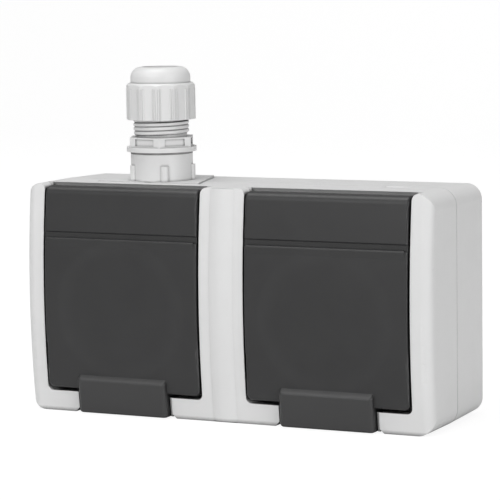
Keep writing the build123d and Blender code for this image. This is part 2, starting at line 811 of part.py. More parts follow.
def earth_bracket():
    """One folded strap for both sockets: a cross bar, and a clip at the top and foot of each well."""
    strap_depth = well_back_depth
    tip_depth = strap_depth + earth_reach
    clip_reach = earth_radius - earth_thickness / 2
    with BuildPart() as bracket:
        for side in sides.values():
            for up in (-1, 1):
                with BuildSketch(Plane.YZ.offset(side * module_offset)):
                    with BuildLine():
                        spine = FilletPolyline(
                            (-strap_depth + earth_thickness / 2, socket_z),
                            (-strap_depth + earth_thickness / 2, socket_z + up * clip_reach),
                            (-tip_depth + 2 * earth_nose, socket_z + up * clip_reach),
                            (-tip_depth + earth_nose, socket_z + up * (earth_radius - earth_nose)),
                            (-tip_depth, socket_z + up * clip_reach),
                            radius=earth_thickness,
                        )
                        offset(spine, amount=earth_thickness / 2, side=Side.BOTH, mode=Mode.REPLACE)
                    make_face()
                extrude(amount=earth_width / 2, both=True)
        with BuildSketch(at_depth(strap_depth)):
            with Locations((0, socket_z + earth_link_rise + contact_clearance)):
                Rectangle(2 * module_offset, strip_width, align=(Align.CENTER, Align.MIN))
        extrude(amount=-earth_thickness)
        with BuildSketch(at_depth(strap_depth)):
            with Locations((-module_offset, socket_z), (module_offset, socket_z)):
                Circle(centre_screw / 2 + screw_clearance)
        extrude(amount=-earth_thickness, mode=Mode.SUBTRACT)
    return bracket.part


def entry_sleeve():
    """Ribbed stub clamped between base and cover; the gland screws into it."""
    foot = top + pad_height
    with BuildPart() as sleeve:
        with BuildSketch(Plane.XY.offset(foot)):
            with Locations((entry_x, -entry_depth)):
                Circle(sleeve_radius)
        extrude(amount=sleeve_height)
        with BuildSketch(Plane.XY.offset(foot)):
            with Locations((entry_x, -entry_depth)):
                rib_ring = sleeve_radius + sleeve_rib_reach - sleeve_rib_width / 2
                with PolarLocations(rib_ring, sleeve_rib_count, start_angle=sleeve_rib_angle):
                    Circle(sleeve_rib_width / 2)
        extrude(amount=sleeve_rib_height)
        with BuildSketch(Plane.XY.offset(top - wall - sleeve_collar_height)):
            with Locations((entry_x, -entry_depth)):
                Circle(sleeve_neck)
        extrude(amount=wall + sleeve_collar_height + pad_height)
        draft_drop = sleeve_collar * sin(radians(base_draft))
        with BuildSketch(Plane.XY.offset(top - wall - draft_drop - sleeve_clearance)):
            with Locations((entry_x, -entry_depth)):
                Circle(sleeve_collar)
            trough_back = pivot_depth - trough_radius - trough_wall - sleeve_clearance
            with Locations((entry_x, -trough_back)):
                Rectangle(
                    4 * sleeve_collar,
                    4 * sleeve_collar,
                    align=(Align.CENTER, Align.MIN),
                    mode=Mode.INTERSECT,
                )
        extrude(amount=-sleeve_collar_height)
        with BuildSketch(Plane.XY.offset(foot + sleeve_height)):
            with Locations((entry_x, -entry_depth)):
                Circle(thread_radius)
        extrude(amount=-thread_entry - thread_play, mode=Mode.SUBTRACT)
        with BuildSketch(Plane.XY.offset(foot + sleeve_height)):
            with Locations((entry_x, -entry_depth)):
                Circle(sleeve_bore)
        extrude(amount=-sleeve_height - 4 * wall, mode=Mode.SUBTRACT)
    return sleeve.part


gland_foot = top + pad_height + sleeve_height
flange_foot = gland_foot + gland_gasket_height
hex_foot = flange_foot + gland_flange_height
hex_top = hex_foot + hex_height
nut_foot = hex_top + nut_rise
nut_top = nut_foot + nut_height
nut_travel = nut_turns * thread_pitch
ring_foot = nut_top - nut_lip - ring_play - ring_height
claw_top = ring_foot - nut_travel - claw_room
claw_foot = claw_top - claw_height
crest_foot = hex_top + thread_shown


def turned(points):
    """Solid of revolution about the gland's axis, from (radius, height) points."""
    with BuildPart() as solid:
        with BuildSketch(Plane.XZ.offset(entry_depth)):
            with BuildLine():
                Polyline(*[(entry_x + radius, z) for radius, z in points], close=True)
            make_face()
        revolve(axis=Axis((entry_x, -entry_depth, 0), (0, 0, 1)))
    return solid.part


def gland_body():
    """Gland's fixed half: lower thread, flange, hexagon with pockets, upper neck and claws."""
    hex_flat = gland_flange_radius * cos(pi / 6)
    with BuildPart() as body:
        add(
            turned(
                [
                    (gland_bore, gland_foot - thread_entry),
                    (thread_radius - thread_play, gland_foot - thread_entry),
                    (thread_radius - thread_play, flange_foot),
                    (gland_flange_radius, flange_foot),
                    (gland_flange_radius, hex_foot),
                    (thread_root, hex_foot),
                    (thread_root, crest_foot),
                    (thread_radius - thread_play, crest_foot),
                    (thread_radius - thread_play, claw_foot),
                    (thread_root, claw_foot),
                    (thread_root - claw_taper, claw_top),
                    (gland_bore, claw_top),
                ]
            )
        )
        with BuildSketch(Plane.XY.offset(hex_foot)):
            with Locations((entry_x, -entry_depth)):
                RegularPolygon(hex_flat, 6, major_radius=False, rotation=hex_angle + 30)
                Circle(gland_bore, mode=Mode.SUBTRACT)
        extrude(amount=hex_height)
        with Locations((entry_x, -entry_depth, hex_foot + hex_height / 2)):
            with PolarLocations(hex_flat, 6, start_angle=hex_angle):
                Box(2 * hex_pocket[2], hex_pocket[0], hex_pocket[1], mode=Mode.SUBTRACT)
        with Locations((entry_x, -entry_depth, claw_foot)):
            with PolarLocations(thread_root, claw_count):
                Box(
                    thread_root,
                    claw_slot,
                    2 * claw_height,
                    align=(Align.CENTER, Align.CENTER, Align.MIN),
                    mode=Mode.SUBTRACT,
                )
    return body.part


def gland_gasket():
    """Flat rubber washer under the gland's flange."""
    inner = thread_radius + thread_play
    outer = sleeve_radius
    return turned([(inner, gland_foot), (outer, gland_foot), (outer, flange_foot), (inner, flange_foot)])


def gland_seal():
    """Rubber bush inside the gland that closes on a cable."""
    outer = gland_bore - contact_clearance
    inner = nut_hole - 4 * contact_clearance
    low = hex_foot
    high = claw_top - contact_clearance
    return turned([(inner, low), (outer, low), (outer, high), (inner, high)])


def dome_inside(z):
    """Radius of the cone inside the nut's dome at height z."""
    low = nut_foot + nut_rib_height
    high = nut_top - nut_lip
    wide = thread_radius + thread_play
    narrow = nut_hole + 2 * ring_play + nut_lip / 2
    return wide + (narrow - wide) * (z - low) / (high - low)


def gland_ring():
    """Slip ring between the nut's dome and the claws."""
    low = ring_foot
    high = ring_foot + ring_height
    inner = nut_hole + ring_play
    wide = dome_inside(low) - 2 * ring_play
    narrow = dome_inside(high) - 2 * ring_play
    return turned([(inner, low), (wide, low), (narrow, high), (inner, high)])


def nut_grip():
    """Lower part of the nut: flat sides, a turned shoulder and fine ribs over each corner."""
    grip_end = nut_foot + nut_grip_height
    brim = nut_grip_radius + nut_rib_radius
    shoulder = nut_grip_radius * cos(pi / nut_grip_sides) - nut_shoulder
    with BuildPart() as grip:
        with BuildSketch(Plane.XY.offset(nut_foot)):
            with Locations((entry_x, -entry_depth)):
                RegularPolygon(nut_grip_radius, nut_grip_sides, rotation=nut_grip_angle)
        extrude(amount=nut_grip_height)
        add(
            turned(
                [
                    (0, nut_foot - nut_lip),
                    (brim, nut_foot - nut_lip),
                    (brim, grip_end + shoulder - brim),
                    (shoulder - nut_lip, grip_end + nut_lip),
                    (0, grip_end + nut_lip),
                ]
            ),
            mode=Mode.INTERSECT,
        )
        with BuildSketch(Plane.XY.offset(nut_foot)):
            with Locations((entry_x, -entry_depth)):
                rib_ring = nut_grip_radius - nut_rib_radius
                for rib_angle in nut_rib_angles:
                    with PolarLocations(rib_ring, nut_grip_sides, start_angle=nut_grip_angle + rib_angle):
                        RegularPolygon(nut_rib_radius, 4)
        extrude(amount=nut_rib_height)
    return grip.part


def gland_nut():
    """Dome nut: a rounded dome over a ribbed grip, bored for the thread, the slip ring and the cable."""
    bore = thread_radius + thread_play
    cone_foot = nut_foot + nut_rib_height
    cone_top = nut_top - nut_lip
    with BuildPart() as nut:
        with BuildSketch(Plane.XY.offset(nut_foot)):
            with Locations((entry_x, -entry_depth)):
                Circle(nut_dome_radius)
        extrude(amount=nut_height)
        fillet(nut.edges().group_by(Axis.Z)[-1], nut_dome_edge)
        add(nut_grip())
        add(
            turned(
                [
                    (0, nut_foot),
                    (bore, nut_foot),
                    (bore, cone_foot),
                    (dome_inside(cone_top), cone_top),
                    (nut_hole, cone_top),
                    (nut_hole, nut_top),
                    (0, nut_top),
                ]
            ),
            mode=Mode.SUBTRACT,
        )
    return nut.part


def terminal_screw_places():
    """Front-view places of the clamping screws in the live and neutral terminals."""
    places = []
    for side in sides.values():
        for across in (-1, 1):
            places.append((side * module_offset + across * pin_pitch / 2, socket_z - terminal_drop))
    return places


centre_screw_places = [(side * module_offset, socket_z) for side in sides.values()]
terminal_front = carrier_stand + contact_clearance + strip_thickness + terminal_length

pieces = {
    "base_box": base_box(),
    "front_cover": front_cover(),
    "cover_gasket": cover_gasket(),
    "cover_screws": screws_at(
        cover_screw_places(),
        recess_floor_depth,
        cover_screw_head,
        cover_screw_head_height,
        cover_screw,
        cover_screw_length,
    ),
    "carrier_screws": screws_at(
        carrier_screw_places(),
        carrier_front_depth - carrier_screw_head_height,
        carrier_screw_head,
        carrier_screw_head_height,
        carrier_screw,
        carrier_front_depth - carrier_screw_head_height - wall,
    ),
    "terminal_screws": screws_at(
        terminal_screw_places(),
        terminal_front,
        terminal_screw_head,
        terminal_screw_head_height,
        terminal_screw,
        terminal_length / 2,
    ),
    "centre_screws": screws_at(
        centre_screw_places,
        well_floor_depth,
        centre_screw_head,
        centre_screw_head_height,
        centre_screw,
        centre_screw_length,
    ),
    "earth_bracket": earth_bracket(),
    "live_link": link_bar(-1, live_link_drop),
    "neutral_link": link_bar(1, neutral_link_drop),
    "entry_sleeve": entry_sleeve(),
    "gland_body": gland_body(),
    "gland_gasket": gland_gasket(),
    "gland_seal": gland_seal(),
    "gland_ring": gland_ring(),
    "gland_nut": gland_nut(),
}
for name, side in sides.items():
    centre = side * module_offset
    pieces["lid_" + name] = lid(side)
    pieces["lid_seal_" + name] = flat_ring(
        centre,
        seal_depth,
        lid_seal_thickness,
        lid_seal_outer,
        lid_seal_inner,
    )
    pieces["hinge_pin_" + name] = hinge_pin(side)
    pieces["lid_spring_" + name] = lid_spring(side)
    pieces["socket_well_" + name] = socket_well(side)
    pieces["well_seal_" + name] = flat_ring(
        centre,
        floor_back_depth - well_seal_thickness,
        well_seal_thickness,
        flange_radius,
        well_outer + well_clearance,
    )
    pieces["contact_carrier_" + name] = contact_carrier(side)
    pieces["live_contact_" + name] = pin_contact(side, -1)
    pieces["neutral_contact_" + name] = pin_contact(side, 1)

for name, piece in pieces.items():
    piece.label = name
    export_step(piece, "parts/" + name + ".step")
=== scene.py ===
"""Looks of the outdoor socket: plastics, thread, screw heads, lips, ledges, springs, light and camera.

Every length is in metres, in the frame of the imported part: +X right, +Y into the wall, +Z up.
"""
import json
from math import cos, pi, radians, sin

import bmesh
import bpy
from mathutils import Matrix, Vector


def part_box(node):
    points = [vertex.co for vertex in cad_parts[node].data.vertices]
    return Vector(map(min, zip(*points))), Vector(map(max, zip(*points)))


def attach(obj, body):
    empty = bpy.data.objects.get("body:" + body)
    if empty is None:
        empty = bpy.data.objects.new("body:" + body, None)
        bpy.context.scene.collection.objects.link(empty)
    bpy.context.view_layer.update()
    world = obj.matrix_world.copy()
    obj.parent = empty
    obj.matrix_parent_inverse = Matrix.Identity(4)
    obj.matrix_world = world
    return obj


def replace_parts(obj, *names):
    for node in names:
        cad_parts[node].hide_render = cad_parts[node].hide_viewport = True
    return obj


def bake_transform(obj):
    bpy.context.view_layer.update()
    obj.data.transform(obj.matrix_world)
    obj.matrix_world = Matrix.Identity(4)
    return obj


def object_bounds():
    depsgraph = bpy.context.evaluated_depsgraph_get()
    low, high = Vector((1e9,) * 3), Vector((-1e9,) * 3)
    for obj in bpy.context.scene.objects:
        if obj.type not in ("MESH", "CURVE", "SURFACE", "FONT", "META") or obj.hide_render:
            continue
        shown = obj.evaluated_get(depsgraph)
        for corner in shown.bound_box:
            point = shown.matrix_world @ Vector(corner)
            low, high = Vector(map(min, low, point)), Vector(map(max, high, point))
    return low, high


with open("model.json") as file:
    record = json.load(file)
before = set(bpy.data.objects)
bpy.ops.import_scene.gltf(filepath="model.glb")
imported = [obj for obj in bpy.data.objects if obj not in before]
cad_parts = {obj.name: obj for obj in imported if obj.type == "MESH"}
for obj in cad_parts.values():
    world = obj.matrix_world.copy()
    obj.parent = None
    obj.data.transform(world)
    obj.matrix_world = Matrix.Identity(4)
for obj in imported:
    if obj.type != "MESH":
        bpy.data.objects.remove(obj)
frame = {"nodes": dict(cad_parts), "record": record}
cad_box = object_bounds()
nodes = frame["nodes"]
scene = bpy.context.scene
MM = 0.001
LIDS = ("lid_left", "lid_right")

# Photograph's camera, in the part's frame
IMAGE_SIZE = 500
SENSOR_WIDTH = 36.0
FOCAL_PIXELS = 2541.1
CAMERA_PLACE = (388.09 * MM, -830.27 * MM, 120.54 * MM)
CAMERA_YAW = radians(25.77)
CAMERA_PITCH = radians(6.61)
CAMERA_ROLL = radians(0.84)

# Soft studio light: name, place, side and power of each lamp, all aimed at one point
LAMPS = (
    ("key_light", (-0.25, -1.9, 0.95), 1.2, 17.2),
    ("fill_light", (2.3, -1.05, 0.47), 1.1, 21.5),
    ("top_light", (-0.30, -0.2, 1.6), 1.2, 16.5),
)
LAMP_TARGET = (0.0, 0.0, 0.0)
WORLD_STRENGTH = 0.22

# Floor and backdrop in one sweep
FLOOR_Z = cad_box[0].z
SWEEP_HALF_WIDTH = 4.0
SWEEP_FRONT = -3.0
SWEEP_TURN = 1.2
SWEEP_RADIUS = 0.8
SWEEP_STEPS = 12
SWEEP_TOP = 3.0
# Paper's tone for all other rays, and its tone and glow for the camera
PAPER = 0.80
SEEN_PAPER = 0.16
SEEN_GLOW = 0.90

# Colours, linear
GREY = (0.70, 0.70, 0.70)
GLAND_GREY = (0.72, 0.72, 0.72)
ANTHRACITE = (0.0300, 0.0300, 0.0306)
GRIP_ANTHRACITE = (0.047, 0.047, 0.0476)
INSERT_GREY = (0.045, 0.046, 0.049)
RUBBER = (0.022, 0.022, 0.023)
GREY_RUBBER = (0.26, 0.26, 0.26)
STEEL = (0.62, 0.61, 0.58)
BRASS = (0.74, 0.52, 0.22)

# Noises: the part of their range that counts, and scale and detail of each
NOISE_SPAN = (0.3, 0.7)
FLOW_MARKS = (90.0, 4.0)
PLASTIC_SHEEN = (700.0, 2.0)
RUBBER_BLOOM = (260.0, 4.0)
RUBBER_SHEEN = (900.0, 2.0)
METAL_STREAKS = (400.0, 5.0)
METAL_SHEEN = (1500.0, 4.0)
GRAIN_DETAIL = 3.0

# Rubber and metal: grain as scale and height
BLOOM_CHANGE = 0.25
RUBBER_ROUGHNESS = (0.62, 0.78)
RUBBER_SPECULAR = 0.35
RUBBER_GRAIN = ((3000.0, 0.010 * MM),)
METAL_GRAIN = ((2500.0, 0.004 * MM),)

# Plastics
EDGE_RADIUS = 0.22 * MM
EDGE_SAMPLES = 6
LID_EDGE_RADIUS = 0.35 * MM
PLASTIC_SPECULAR = 0.5
LID_SPECULAR = 0.42
# Painted shade by how open a spot is: reach, openness that is darkest, openness that is lit, colour left in
# the darkest painted shade
GAP_PAINTED_SHADE = (3.0 * MM, 0.22, 0.45, 0.0)
CREASE_PAINTED_SHADE = (1.6 * MM, 0.35, 1.0, 0.20)
GLAND_CREASE_PAINTED_SHADE = (0.9 * MM, 0.1, 1.0, 0.25)
SHADE_SAMPLES = 8
# Painted shade in the shallow grooves of the top face leaves at least this share of the colour
TOP_GROOVE = 0.8 * MM
TOP_FADE = 0.1 * MM
TOP_SHARE = 0.85
# Faint sunk disc on each lid, and the share of the lids' colour by distance from the socket's axis: a painted
# sheen ring over the sink mark
SINK_RADIUS = 24.0 * MM
SINK_EDGE = 1.5 * MM
SINK_DEPTH = 0.08 * MM
RING_SCALE = 30.0 * MM
PAINTED_SHEEN_TONES = ((18.5 * MM, 0.86), (22.8 * MM, 0.97), (24.3 * MM, 0.97), (26.0 * MM, 0.89))
well_low, well_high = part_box("socket_well_right")
SOCKET_X = (well_low.x + well_high.x) / 2
SOCKET_Z = (well_low.z + well_high.z) / 2

# Edges that stay sharp in smooth shading
CAD_SHARP = radians(28.0)
SCREW_SHARP = radians(40.0)
FORM_SHARP = radians(50.0)

# Gland's visible thread, from above the sleeve to inside the nut
THREAD_PITCH = 1.5 * MM
THREAD_CREST = 9.95 * MM
THREAD_ROOT = 9.1 * MM
THREAD_STEPS = 96
THREAD_FOOT = 6.5 * MM
THREAD_COVERED = 0.4 * MM
# Lower flank: share of the way from root to crest, and share of the pitch along the axis
THREAD_FLANK = ((-0.25, -0.495), (0.4, -0.495), (0.8, -0.33), (1.0, -0.14))
THREAD_RUN_OUT = 6.0
THREAD_HEAD_SHARE = 0.4

# Cover's bulged front and the sill beside each grip
FRONT_DEPTH = 50.5 * MM
BULGE = 2.7 * MM
HALF_HEIGHT = -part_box("front_cover")[0].z
BARREL_RADIUS = (HALF_HEIGHT**2 + BULGE**2) / (2 * BULGE)
BARREL_Y = BARREL_RADIUS - FRONT_DEPTH
GRIP_WIDTH = 35.2 * MM
GRIP_START = 0.5 * MM
GRIP_FULL = 1.5 * MM
NOTCH_GAP = 1.1 * MM
SILL_HEIGHT = 7.4 * MM
LEDGE_GAP = 0.3 * MM
LEDGE_SETBACK = 0.5 * MM
LEDGE_DEPTH = 4.0 * MM
LEDGE_FOOT = 0.6 * MM
LEDGE_STEPS = 4

# Raised lip under each lid's cross groove: out from the lid's front and up, in millimetres
LID_PROUD = 0.8 * MM
LIP_Z = 21.6 * MM
LIP_OUTLINE = (
    (-0.6, 0.32),
    (-0.12, 0.29),
    (0.08, 0.20),
    (0.23, 0.0),
    (0.28, -0.24),
    (0.28, -0.45),
    (-0.6, -8.0),
)
LIP_END = 1.0 * MM

# Screws seen when a lid is open: radius and height of the heads, the rest as shares of those
COVER_HEAD = (3.3 * MM, 2.4 * MM)
CENTRE_HEAD = (3.6 * MM, 2.0 * MM)
HEAD_STEPS = 40
PAN_OUTLINE = ((1.0, 0.0), (1.0, 0.42), (0.94, 0.72), (0.80, 0.92), (0.62, 1.0))
CROSS_ARM = 0.50
CROSS_HALF_WIDTH = 0.12
CROSS_TAPER = 0.62
CROSS_DEPTH = 0.75
SHANK_SHARE = 0.53


# Material nodes
def new_material(name):
    """A node material, with its node tree and its main shader."""
    material = bpy.data.materials.new(name)
    material.use_nodes = True
    tree = material.node_tree
    return material, tree, tree.nodes["Principled BSDF"]


def feed(tree, socket, value):
    """Links another node's output to an input, or sets the input to a plain value."""
    if isinstance(value, bpy.types.NodeSocket):
        tree.links.new(value, socket)
    else:
        socket.default_value = value


def object_place(tree):
    """Place in the part's own coordinates, so that a pattern stays with a piece that moves."""
    return tree.nodes.new("ShaderNodeTexCoord").outputs["Object"]


def object_axes(tree):
    """The three coordinates of that place."""
    axes = tree.nodes.new("ShaderNodeSeparateXYZ")
    tree.links.new(object_place(tree), axes.inputs["Vector"])
    return axes.outputs


def object_noise(tree, scale, detail):
    """Noise in the part's own coordinates."""
    noise = tree.nodes.new("ShaderNodeTexNoise")
    noise.inputs["Scale"].default_value = scale
    noise.inputs["Detail"].default_value = detail
    tree.links.new(object_place(tree), noise.inputs["Vector"])
    return noise.outputs["Fac"]


def calculated(tree, operation, *values):
    """Result of a math node on outputs and plain numbers."""
    step = tree.nodes.new("ShaderNodeMath")
    step.operation = operation
    for socket, value in zip(step.inputs, values):
        feed(tree, socket, value)
    return step.outputs["Value"]


def distance_from(tree, place, point):
    """Distance of a place from a fixed point."""
    distance = tree.nodes.new("ShaderNodeVectorMath")
    distance.operation = "DISTANCE"
    distance.inputs[1].default_value = point
    tree.links.new(place, distance.inputs[0])
    return distance.outputs["Value"]


def ranged(tree, value, start, end, low=0.0, high=1.0, course="LINEAR"):
    """Maps a value from one range on to another."""
    span = tree.nodes.new("ShaderNodeMapRange")
    span.interpolation_type = course
    span.inputs["From Min"].default_value = start
    span.inputs["From Max"].default_value = end
    span.inputs["To Min"].default_value = low
    span.inputs["To Max"].default_value = high
    tree.links.new(value, span.inputs["Value"])
    return span.outputs["Result"]


def spread(tree, noise, low, high):
    """Maps a noise value on to a range."""
    return ranged(tree, noise, *NOISE_SPAN, low, high)


def mixed(tree, share, first, second, blend="MIX"):
    """Two colours mixed by a share of the second."""
    mix = tree.nodes.new("ShaderNodeMix")
    mix.data_type = "RGBA"
    mix.blend_type = blend
    feed(tree, mix.inputs["Factor"], share)
    feed(tree, mix.inputs["A"], first)
    feed(tree, mix.inputs["B"], second)
    return mix.outputs["Result"]


def tinted(tree, colour, noise, change):
    """The colour made a little darker and lighter by a noise value."""
    darker = tuple(c * (1 - change) for c in colour) + (1.0,)
    lighter = tuple(min(1.0, c * (1 + change)) for c in colour) + (1.0,)
    return mixed(tree, spread(tree, noise, 0.0, 1.0), darker, lighter)


def raised(tree, height, distance, normal):
    """Bump of a height value over a normal; the new normal."""
    bump = tree.nodes.new("ShaderNodeBump")
    bump.inputs["Strength"].default_value = 1.0
    bump.inputs["Distance"].default_value = distance
    tree.links.new(height, bump.inputs["Height"])
    tree.links.new(normal, bump.inputs["Normal"])
    return bump.outputs["Normal"]


def soft_edges(tree, radius):
    """Normal that rounds sharp edges a little, as a mould does."""
    bevel = tree.nodes.new("ShaderNodeBevel")
    bevel.samples = EDGE_SAMPLES
    bevel.inputs["Radius"].default_value = radius
    return bevel.outputs["Normal"]


def grained(tree, shader, layers, normal):
    """Bump from several noises: (scale, height) pairs, coarse first."""
    for scale, height in layers:
        normal = raised(tree, object_noise(tree, scale, GRAIN_DETAIL), height, normal)
    tree.links.new(normal, shader.inputs["Normal"])


def less_painted_shade_on_top(tree, share):
    """An open share that stays near full in the shallow grooves of the top face, so that the painted shade
    there stays light.
    """
    groove_z = HALF_HEIGHT - TOP_GROOVE
    least = ranged(tree, object_axes(tree)["Z"], groove_z, groove_z + TOP_FADE, 0.0, TOP_SHARE)
    return calculated(tree, "MAXIMUM", share, least)


def with_painted_shade(tree, colour, shade, lighter_shade_on_top):
    """The colour with painted shade: darker where the surface is closed in within reach, as in gaps and
    creases.
    """
    reach, darkest, lit, left_over = shade
    corner = tree.nodes.new("ShaderNodeAmbientOcclusion")
    corner.samples = SHADE_SAMPLES
    corner.inputs["Distance"].default_value = reach
    share = ranged(tree, corner.outputs["AO"], darkest, lit, left_over)
    # The painted shade is kept light in the top face's shallow grooves
    if lighter_shade_on_top:
        share = less_painted_shade_on_top(tree, share)
    return mixed(tree, share, (0.0, 0.0, 0.0, 1.0), colour)


def socket_distance(tree):
    """Distance from the nearer socket's axis."""
    axes = object_axes(tree)
    flat = tree.nodes.new("ShaderNodeCombineXYZ")
    tree.links.new(calculated(tree, "ABSOLUTE", axes["X"]), flat.inputs["X"])
    tree.links.new(axes["Z"], flat.inputs["Z"])
    return distance_from(tree, flat.outputs["Vector"], (SOCKET_X, 0.0, SOCKET_Z))


def sink_ring(tree):
    """Height of the faint sunk disc that a lid's seal land leaves on its front: 1 outside it, 0 inside."""
    return ranged(
        tree, socket_distance(tree), SINK_RADIUS - SINK_EDGE, SINK_RADIUS + SINK_EDGE, course="SMOOTHSTEP"
    )


def with_painted_sink_sheen(tree, colour):
    """The colour with a painted sheen: a paler ring where a lid's seal land lies behind it and leaves a sink
    mark.
    """
    tones = tree.nodes.new("ShaderNodeValToRGB")
    stops = tones.color_ramp.elements
    while len(stops) < len(PAINTED_SHEEN_TONES):
        stops.new(0.5)
    for stop, (distance, tone) in zip(stops, PAINTED_SHEEN_TONES):
        stop.position = distance / RING_SCALE
        stop.color = (tone, tone, tone, 1.0)
    share = calculated(tree, "DIVIDE", socket_distance(tree), RING_SCALE)
    tree.links.new(share, tones.inputs["Fac"])
    return mixed(tree, 1.0, colour, tones.outputs["Color"], "MULTIPLY")


def grip_tinted(tree, colour):
    """The colour, changed to the grips' on what stands proud of the lids' fronts."""
    flat = tree.nodes.new("ShaderNodeVectorMath")
    flat.operation = "MULTIPLY"
    flat.inputs[1].default_value = (0.0, 1.0, 1.0)
    tree.links.new(object_place(tree), flat.inputs[0])
    out = distance_from(tree, flat.outputs["Vector"], (0.0, BARREL_Y, 0.0))
    lid_radius = BARREL_RADIUS + LID_PROUD
    share = ranged(tree, out, lid_radius + GRIP_START, lid_radius + GRIP_FULL)
    return mixed(tree, share, colour, (*GRIP_ANTHRACITE, 1.0))


# Materials
def moulded_plastic(
    name, colour, roughness, change, grain, painted_shades,
    lighter_shade_on_top=False, edge=EDGE_RADIUS, specular=PLASTIC_SPECULAR, sink=0.0,
):
    """Injection-moulded plastic: fine eroded grain, faint flow marks, an uneven sheen, and painted shade in
    gaps and creases.
    """
    material, tree, shader = new_material(name)
    cover = tinted(tree, colour, object_noise(tree, *FLOW_MARKS), change)
    # A lid's colour gets the grips' tone and a painted sheen ring over the sink mark
    if sink:
        cover = with_painted_sink_sheen(tree, grip_tinted(tree, cover))
    # Painted shade: the colour is darkened in gaps and creases
    for shade in painted_shades:
        cover = with_painted_shade(tree, cover, shade, lighter_shade_on_top)
    tree.links.new(cover, shader.inputs["Base Color"])
    sheen = spread(tree, object_noise(tree, *PLASTIC_SHEEN), *roughness)
    tree.links.new(sheen, shader.inputs["Roughness"])
    shader.inputs["Specular IOR Level"].default_value = specular
    normal = soft_edges(tree, edge)
    if sink:
        normal = raised(tree, sink_ring(tree), sink, normal)
    grained(tree, shader, grain, normal)
    return material


def rubber(name, colour):
    """Dull sealing rubber with a dusty bloom."""
    material, tree, shader = new_material(name)
    bloom = tinted(tree, colour, object_noise(tree, *RUBBER_BLOOM), BLOOM_CHANGE)
    tree.links.new(bloom, shader.inputs["Base Color"])
    sheen = spread(tree, object_noise(tree, *RUBBER_SHEEN), *RUBBER_ROUGHNESS)
    tree.links.new(sheen, shader.inputs["Roughness"])
    shader.inputs["Specular IOR Level"].default_value = RUBBER_SPECULAR
    grained(tree, shader, RUBBER_GRAIN, soft_edges(tree, EDGE_RADIUS))
    return material


def metal(name, colour, roughness, change):
    """Bright drawn or plated metal with fine streaks."""
    material, tree, shader = new_material(name)
    shader.inputs["Metallic"].default_value = 1.0
    streaks = tinted(tree, colour, object_noise(tree, *METAL_STREAKS), change)
    tree.links.new(streaks, shader.inputs["Base Color"])
    sheen = spread(tree, object_noise(tree, *METAL_SHEEN), *roughness)
    tree.links.new(sheen, shader.inputs["Roughness"])
    grained(tree, shader, METAL_GRAIN, soft_edges(tree, EDGE_RADIUS))
    return material


# The shades of each plastic are painted shade in its gaps and creases
finishes = {
    "grey_plastic": moulded_plastic(
        "grey_plastic", GREY, roughness=(0.40, 0.50), change=0.012,
        grain=((900.0, 0.004 * MM), (4200.0, 0.006 * MM)), painted_shades=(GAP_PAINTED_SHADE, CREASE_PAINTED_SHADE), lighter_shade_on_top=True,
    ),
    "gland_plastic": moulded_plastic(
        "gland_plastic", GLAND_GREY, roughness=(0.34, 0.44), change=0.012,
        grain=((900.0, 0.003 * MM), (4200.0, 0.003 * MM)), painted_shades=(GAP_PAINTED_SHADE, GLAND_CREASE_PAINTED_SHADE),
    ),
    "lid_plastic": moulded_plastic(
        "lid_plastic", ANTHRACITE, roughness=(0.36, 0.44), change=0.06,
        grain=((700.0, 0.006 * MM), (3600.0, 0.009 * MM)), painted_shades=(GAP_PAINTED_SHADE,),
        edge=LID_EDGE_RADIUS, specular=LID_SPECULAR, sink=SINK_DEPTH,
    ),
    "insert_plastic": moulded_plastic(
        "insert_plastic", INSERT_GREY, roughness=(0.36, 0.46), change=0.05,
        grain=((900.0, 0.004 * MM), (4200.0, 0.005 * MM)), painted_shades=(GAP_PAINTED_SHADE,),
    ),
    "rubber": rubber("rubber", RUBBER),
    "grey_rubber": rubber("grey_rubber", GREY_RUBBER),
    "steel": metal("steel", STEEL, roughness=(0.24, 0.36), change=0.05),
    "brass": metal("brass", BRASS, roughness=(0.22, 0.34), change=0.08),
}
for entry in frame["record"]["subparts"]:
    node = nodes[entry["node"]]
    node.data.materials.clear()
    node.data.materials.append(finishes[entry["material_slot"]])
    node.data.shade_smooth()
    node.data.set_sharp_from_angle(angle=CAD_SHARP)


# Pieces that the scene adds
def front_y(z, proud=0.0):
    """Place of the cover's bulged front at a height, or of a surface that stands proud of it."""
    return BARREL_Y - ((BARREL_RADIUS + proud) ** 2 - z**2) ** 0.5


def closed_mesh(bm, name, sharp=None):
    """Mesh of a finished closed form, shaded smooth between edges sharper than an angle, if one is given."""
    bmesh.ops.recalc_face_normals(bm, faces=bm.faces)
    mesh = bpy.data.meshes.new(name)
    bm.to_mesh(mesh)
    bm.free()
    if sharp is not None:
        mesh.shade_smooth()
        mesh.set_sharp_from_angle(angle=sharp)
    return mesh


def mesh_object(name, mesh, body, slot):
    """A new piece on a body, finished as one of the record's slots."""
    piece = bpy.data.objects.new(name, mesh)
    scene.collection.objects.link(piece)
    mesh.materials.append(finishes[slot])
    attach(piece, body)
    return piece


def wall_between(bm, near, far):
    """Band of faces between two closed outlines with the same count."""
    count = len(near)
    for index in range(count):
        after = (index + 1) % count
        bm.faces.new((near[index], near[after], far[after], far[index]))


